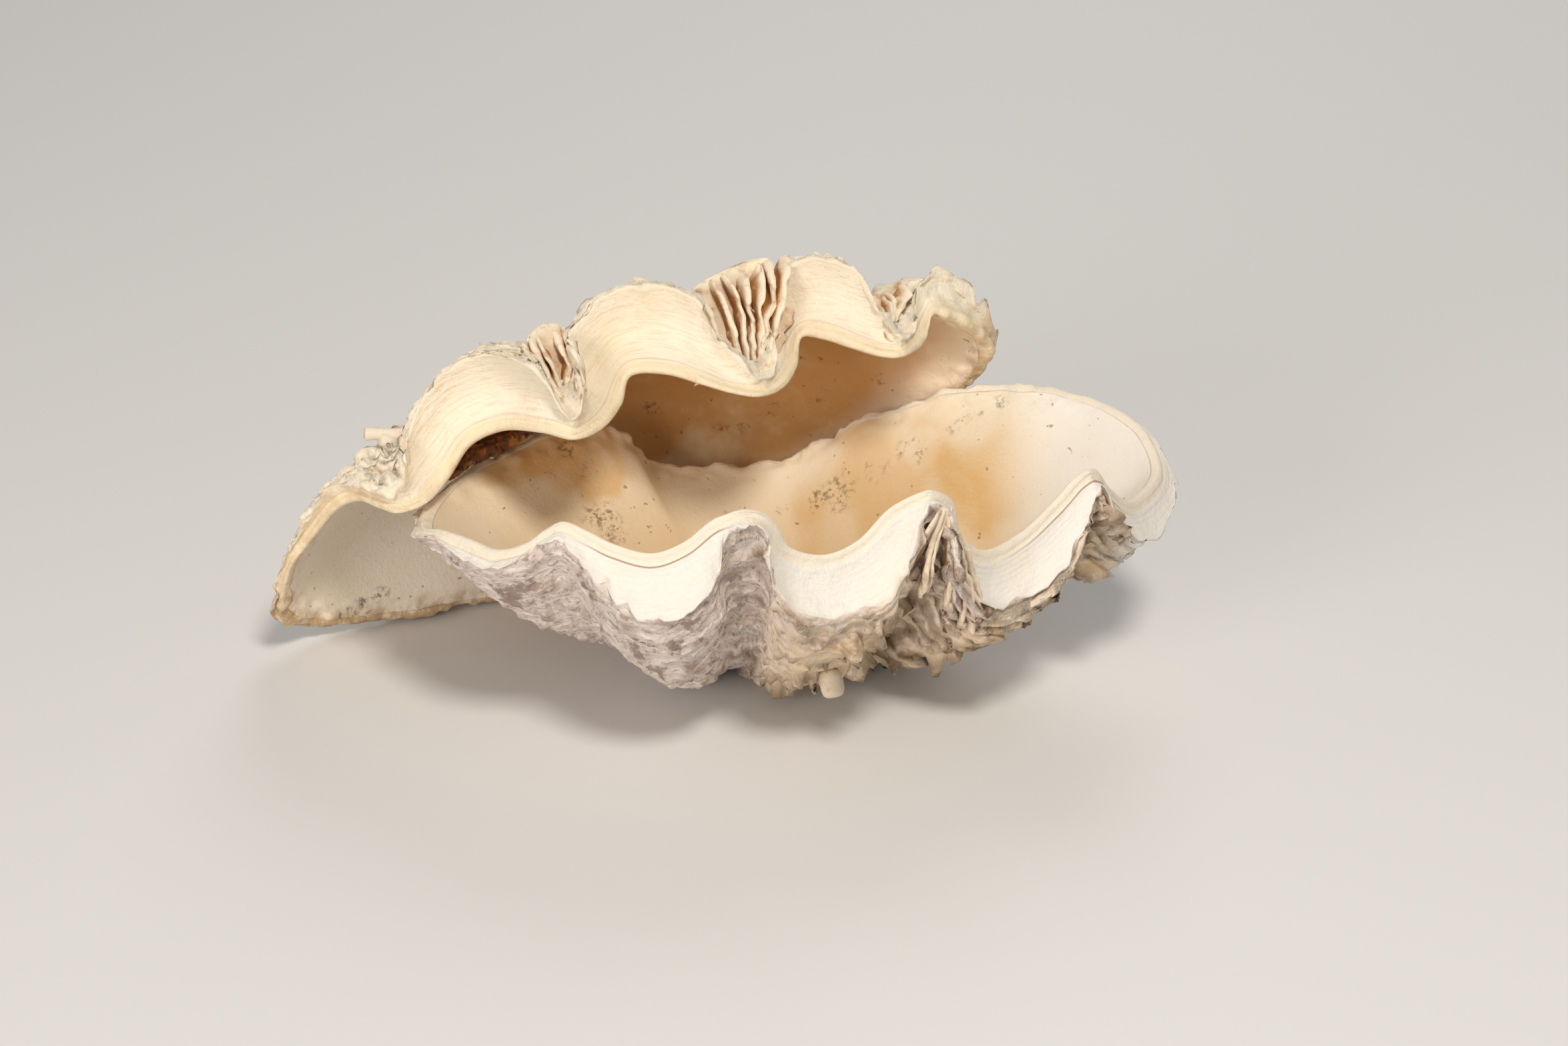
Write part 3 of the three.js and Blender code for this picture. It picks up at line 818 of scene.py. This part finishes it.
def lime_finish(name, pale, deep):
    """Rough lime: pale, with flecks of dirt, and with painted shade where it lies hidden deep in a groove.
    """
    material, shader, here = new_finish(name)
    fleck = here.noise(230, 5, 0.65)
    # Flecks of dirt, and painted shade where the point is hidden.
    dirt_and_painted_shade = fleck.ramp(0.5, 0.68) * 0.5 + mark(here, "hidden") * (fleck.ramp(0.25, 0.5) + 0.25)
    colour = plain_colour(here, pale).paint(deep, dirt_and_painted_shade)
    here.tree.links.new(colour.link, shader.inputs["Base Color"])
    shader.inputs["Roughness"].default_value = 0.8
    bump = here.node("ShaderNodeBump", (), Strength=0.5, Distance=0.0005, Height=fleck)
    here.tree.links.new(bump.link, shader.inputs["Normal"])
    return material


lower_plain = valve_rows(LOWER, 0.0)[0]
lower_pages = joined("lower_pages", [
    *pages_in_groove(LOWER, lower_plain, (19.4, 23.8, 21.5), 7, behind=-0.5, seed=301, reach=1.45),
    *pages_in_groove(LOWER, lower_plain, (27.0, 29.6, 28.1), 5, behind=0.5, seed=401, reach=1.1, deep=4),
])
lower_pages.data.materials.append(lime_finish("lower_pages", (0.84, 0.7, 0.53), (0.26, 0.16, 0.085)))
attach(lower_pages, "root")
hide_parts("lower_valve")

# ---- Barnacle knob -------------------------------------------------------------------
# The blunt stump of a barnacle, a hard lump of lime that the animal cemented to the outside of the lower
# valve, under the margin, where it still sits fast.
GROWTH_SIDES = 32
GROWTH_LUMP = 0.3


def turned(name, base, way, profile, seed):
    """A lumpy round growth along a way, from pairs of height and radius, all in the frame's millimetres."""
    way = Vector(way).normalized()
    side = np.array(way.orthogonal().normalized())
    other = np.cross(way, side)
    angle = np.linspace(0, 2 * np.pi, GROWTH_SIDES + 1)[:, None]
    around = np.cos(angle) * side + np.sin(angle) * other
    heights, radii = np.array(profile, float).T
    rings = np.array(base) + heights[:, None, None] * np.array(way) + radii[:, None, None] * around
    return tube_piece(name, (rings + around * GROWTH_LUMP * grain(rings, 2.5, seed)[..., None]) / 1000)


KNOB = ((-2, 3.6), (0, 3.5), (1.5, 3.2), (3, 3.1), (4.2, 2.8), (4.9, 2.0), (5.1, 1.1))
barnacle = turned("barnacle_knob", (30.2, -45.6, 18.6), (0.2, -0.55, -0.8), KNOB, 801)
barnacle.data.materials.append(lime_finish("barnacle", (0.78, 0.66, 0.5), (0.35, 0.26, 0.18)))
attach(barnacle, "root")
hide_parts("lower_valve")

# ---- Upper valve ---------------------------------------------------------------------
# The shallower valve, grown of the same aragonite as the lower one and its mirror image in build. It stands
# behind on its hinge edge and leans over, so that its inside faces down and forward, and its lips stand up
# as open arches with a groove between each two.
UPPER = {
    "name": "upper_valve",
    "side": -1,
    "turn": Euler((math.radians(125), math.radians(-18.3), math.radians(9.7)), "XYZ"),
    "beak": (-14, -38, 24),
    "centre": (10, 25),
    "half": (105, 48),
    "belly": 66,
    "wall": 44,
    "fan": 0.35,
    "taper": 1.7,
    "bowl": (8, 22, 35),
    "seed": 23,
}
UPPER["stations"] = np.array([
    (-95, 36, 0, 2, 3), (-89, 46, 2, 2, 3), (-81, 52, 4, 3, 3), (-71, 61, 5, 3, 4),
    (-64, 65, 3, 3, 5), (-59, 68, -3, 3, 5), (-54, 70, -8, 3, 5), (-46, 68, -7, 4, 9),
    (-39, 64, 0, 8, 14), (-30, 67, 6, 11, 16), (-20, 70, 5, 11, 18), (-10, 77, -4, 8, 16),
    (-2, 79, -11, 4, 6), (6, 74, -8, 5, 8), (13, 69, 0, 8, 18), (18, 70, 7, 9, 21),
    (27, 71, 3, 9, 23), (35, 71, -4, 8, 22), (42, 69, -9, 5, 14), (49, 65, -11, 3, 5),
    (56, 60, -8, 3, 6), (62, 55, 0, 5, 14), (66, 55, 8, 7, 19), (72, 56, 4, 8, 20),
    (78, 56, -2, 7, 18), (84, 55, -7, 4, 10), (90, 54, -9, 3, 5), (97, 47, -3, 3, 6),
    (103, 47, 4, 4, 10), (111, 38, 2, 3, 8), (114, 29, 0, 3, 5), (113, 21, -2, 3, 4),
    (107, 14, -3, 3, 4), (98, 8, -3, 3, 3), (84, -5, -2, 3, 4), (66, -14, 0, 3, 4),
    (46, -21, 1, 3, 5), (24, -27, 2, 3, 5), (2, -30, 2, 3, 5), (-18, -26, 1, 3, 5),
    (-38, -18, 0, 3, 4), (-58, -8, 0, 3, 4), (-78, 1, 0, 3, 3), (-92, 10, 0, 3, 3),
    (-99, 22, 0, 3, 3),
], float)
UPPER["edge_break"] = 0.9
UPPER["swell"] = 0.2
UPPER["band_rise"] = 0.3
UPPER["hinge"] = lambda place: between(place, 27.5, 45.5, 1.5)
UPPER_THORNS = [(13.7, 2, 0.3), (29.6, 3, 0.3), (30.6, 2.5, 0.3), (28.2, 2, 0.3)]
UPPER["thorns"] = lambda place: thorns(place, UPPER_THORNS)
UPPER_PAGES = ((5.0, 7.6, 3), (11.2, 14.0, 3), (18.3, 21.3, 3), (25.2, 27.4, 3))


def upper_frill(place, at):
    """How far old lips stand out: a share of today's lip on the ribs, and millimetres in the grooves."""
    pages = sum(between(place, start, end, 0.6) * far for start, end, far in UPPER_PAGES)
    tops = 0.05 + 0.12 * between(place, 0, 6, 2)
    return tops, pages * ramp(*ALONG_GROOVES, at)


def upper_crust(place, tier):
    """Thin crust all over, thicker at the left end and worn off towards the margin."""
    return (0.35 + 0.25 * between(place, -1, 6, 2)) * (1 - 0.8 * ramp(0.65, 0.9, tier))


UPPER_STAINS = [
    (-20.7, 50.5, 54.9, 3.2), (-1.5, 51.1, 47.9, 2.2), (1, 51, 47.9, 1.6), (5.7, 50.6, 47.9, 1.8),
    (13.7, 49.8, 53.4, 1.7), (15.4, 49.4, 56.3, 1.7), (26.9, 47.3, 58.7, 1.8), (44.1, 41.4, 67.3, 1.8),
    (-98.2, 17.9, 10.8, 3), (-103.5, 15.2, 9.6, 2.4), (-107.6, 12.4, 6, 4),
]
UPPER["frill"] = upper_frill
UPPER["crust"] = upper_crust
UPPER["paint"] = {
    # Painted shade: the inside is painted dark tan, deeper in from the rim and away from the left end.
    "painted_shade_and_stain": lambda place, tier, at: ramp(2.03, 2.35, tier) * ramp(-85, -45, at[:, 0]),
    "fresh": lambda place, tier, at: ramp(0.5, 0.8, tier) * (0.45 + 0.55 * between(place, -1, 30, 1)),
    "rust": lambda place, tier, at: between(place, 30, 46.5, 1.5) + 0.35 * between(place, -3, 6, 1),
    "bare": lambda place, tier, at: 0.5 * (1 - ramp(-95, -60, at[:, 0])),
    "seam": lambda place, tier, at: 0.3 * between(place, 8, 28, 1),
    "stain": lambda place, tier, at: (tier > WELL_INSIDE) * spots(at, UPPER_STAINS),
}
upper_shell = valve_piece(UPPER)
paint_marks(UPPER, upper_shell)
upper_shell.data.materials.append(shell_finish("upper_shell", {
    "chalk": (0.82, 0.71, 0.56),
    "grey": (0.68, 0.54, 0.4),
    "crust": (0.58, 0.4, 0.23),
    # Dark: the painted shade in the gaps and pits of the outside.
    "dark": (0.42, 0.2, 0.065),
    "pale": (0.86, 0.74, 0.56),
    "blot": (0.42, 0.25, 0.12),
    "strata": 0.27,
    "lip": (0.92, 0.83, 0.67),
    "band": (0.89, 0.75, 0.52),
    "seam": (0.45, 0.28, 0.12),
    "cream": (0.95, 0.83, 0.7),
    # Dark tan: the painted shade of the inside, and the strata of the lips.
    "tan": (0.58, 0.31, 0.11),
    "stain": (0.12, 0.06, 0.03),
}))
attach(upper_shell, "root")
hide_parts("upper_valve")

# ---- Pages of the upper valve --------------------------------------------------------
# Three grooves of the upper valve still hold its older lips, thin sheets of shell on edge, grown as part of
# it. Behind each stack the web of one old lip closes the groove, brown with painted shade and flecks of
# dirt.
upper_plain = valve_rows(UPPER, 0.0)[0]
upper_pages = joined("upper_pages", [
    *pages_in_groove(UPPER, upper_plain, (10.7, 14.6, 12.4), 5, behind=4.5, seed=501, web=0.6),
    *pages_in_groove(UPPER, upper_plain, (16.9, 22.4, 19.2), 7, behind=3.5, seed=601, web=0.75),
    *pages_in_groove(UPPER, upper_plain, (24.8, 27.8, 26.0), 4, behind=3.0, seed=701, web=0.7),
])
upper_pages.data.materials.append(lime_finish("upper_pages", (0.94, 0.83, 0.64), (0.46, 0.2, 0.055)))
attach(upper_pages, "root")
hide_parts("upper_valve")

# ---- Worm tubes ----------------------------------------------------------------------
# Two tubes of lime that marine worms built, cemented fast to the left end of the upper valve. The longer one
# stands clear of it and is open at its end.
TUBE = (
    (0, 2.1), (3, 1.9), (6, 1.75), (9, 1.8), (12, 1.9), (12.6, 1.6),
    (12.3, 1.1), (9, 1.0), (6, 0.8),  # down the bore
)
STUMP = TUBE[:4]
worm_tubes = joined("worm_tubes", [
    turned("tube", (-86.5, 7.5, 66.5), (-0.95, -0.2, 0.12), TUBE, 811),
    turned("tube", (-88, 9, 63), (-0.5, -0.5, 0.35), STUMP, 812),
])
worm_tubes.data.materials.append(lime_finish("worm_tube", (0.84, 0.75, 0.62), (0.5, 0.36, 0.22)))
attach(worm_tubes, "root")
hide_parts("upper_valve")

# ---- Ligament ------------------------------------------------------------------------
# The dried remnant of the elastic hinge ligament, a tough brown strip that shrank, split and curled along
# the lower valve's hinge rim, where it is still stuck fast.
LIGAMENT_PLACES = (49.8, 52.9)  # along the lower valve's margin
LIGAMENT_HALF = (4.0, 2.2)  # half its width and height in the middle
LIGAMENT_END = 0.3  # share of them at its ends
LIGAMENT_INSET = 1.5
LIGAMENT_GAP = 0.5
LIGAMENT_SECTIONS = 90
LIGAMENT_SIDES = 48
LIGAMENT_RUN = 30
SPLIT_DEPTH = 0.95  # share of the height
CURL = 0.7


def ligament_points():
    """Rings of a flat strip that tapers to both ends, split lengthwise, with curled and broken edges."""
    share = np.linspace(0, 1, LIGAMENT_SECTIONS)
    ridge = station_at(LOWER["stations"], mix(*LIGAMENT_PLACES, share))[:, :3]
    normal = outward(LOWER, ridge)
    size = mix(LIGAMENT_END, 1, np.sin(np.pi * mix(0.04, 0.96, share)))[:, None]
    angle = np.linspace(0, 2 * np.pi, LIGAMENT_SIDES, endpoint=False)[None]
    across = np.cos(angle) * size * LIGAMENT_HALF[0]
    up = squared_sine(angle) * size * LIGAMENT_HALF[1]
    strip = spread(share[:, None] * LIGAMENT_RUN, across, up)
    off_split = np.abs(across + 1.1 * np.sin(share[:, None] * 7)) - 0.2
    split = SPLIT_DEPTH * ramp(0.55, 0.0, off_split) * (np.sin(angle) > 0)
    curl = CURL * ramp(0.55, 0.95, np.abs(np.cos(angle))) * (np.sin(angle) > -0.1)
    broken = 0.7 * grain(strip * (0.35, 1, 1), 1.4, 41) + 0.3 * grain(strip, 0.7, 42)
    up = up * (1 - split) + curl + broken
    across = across * (1 + layered(strip, ((0.22, 3, 43), (0.12, 1, 44)))) - LIGAMENT_INSET
    points = np.empty(strip.shape)
    points[..., :2] = ridge[:, None, :2] + normal[:, None] * across[..., None]
    points[..., 2] = ridge[:, None, 2] - LIGAMENT_GAP - LIGAMENT_HALF[1] - up
    return np.concatenate([points, points[:, :1]], axis=1)


ligament = tube_piece("ligament_strip", set_down(LOWER, ligament_points(), lower_plain))
ligament_material, ligament_shader, here = new_finish("dried_ligament")
horn = plain_colour(here, (0.16, 0.06, 0.02))
horn = horn.paint((0.5, 0.2, 0.05), here.noise(220, 4, 0.6).ramp(0.46, 0.62))
horn = horn.paint((0.012, 0.006, 0.004), here.noise(420, 3, 0.6).ramp(0.52, 0.62))
here.tree.links.new(horn.link, ligament_shader.inputs["Base Color"])
ligament_shader.inputs["Roughness"].default_value = 0.5
grit = here.node("ShaderNodeBump", (), Strength=0.6, Distance=0.0005, Height=here.noise(700, 4, 0.6))
here.tree.links.new(grit.link, ligament_shader.inputs["Normal"])
ligament.data.materials.append(ligament_material)
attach(ligament, "root")
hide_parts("ligament")

# ---- Floor, light and camera ---------------------------------------------------------
# A plain pale surface, lit by a small warm key light from the front right and above, a soft fill from the
# front left and one from behind, and seen from in front and a little above.
bpy.ops.object.select_all(action="DESELECT")
bpy.ops.mesh.primitive_plane_add(size=30)
floor = bpy.context.object
floor.name = "floor"
floor_material, floor_shader, _ = new_finish("floor")
floor_shader.inputs["Base Color"].default_value = (0.78, 0.78, 0.78, 1)
floor_shader.inputs["Roughness"].default_value = 0.7
floor.data.materials.append(floor_material)


SHELL_MIDDLE = Vector((0, 0, 0.05))


def softbox(name, place, size, power, colour):
    """A round area light that looks at the middle of the shell."""
    light = bpy.data.lights.new(name, "AREA")
    light.shape = "DISK"
    light.size = size
    light.energy = power
    light.color = colour
    lamp = bpy.data.objects.new(name, light)
    lamp.location = place
    lamp.rotation_euler = (SHELL_MIDDLE - Vector(place)).to_track_quat("-Z", "Y").to_euler()
    bpy.context.scene.collection.objects.link(lamp)


softbox("key", (0.25, -0.75, 1.2), 0.3, 11, (1, 0.93, 0.83))
softbox("fill", (-0.9, -1.2, 0.45), 0.8, 10, (1, 0.94, 0.88))
softbox("rim", (0.2, 1.1, 0.9), 0.8, 4, (1, 0.98, 0.95))
world = bpy.data.worlds.new("studio")
world.use_nodes = True
background = world.node_tree.nodes["Background"]
background.inputs["Color"].default_value = (0.96, 0.93, 0.9, 1)
background.inputs["Strength"].default_value = 0.25
bpy.context.scene.world = world
bpy.context.scene.view_settings.view_transform = "Standard"

camera_data = bpy.data.cameras.new("camera")
camera_data.lens = 85
camera_data.sensor_width = 36
camera = bpy.data.objects.new("camera", camera_data)
camera.location = (0.0176, -0.9204, 0.5118)
camera.rotation_euler = (math.radians(63), 0, 0)
bpy.context.scene.collection.objects.link(camera)
bpy.context.scene.camera = camera
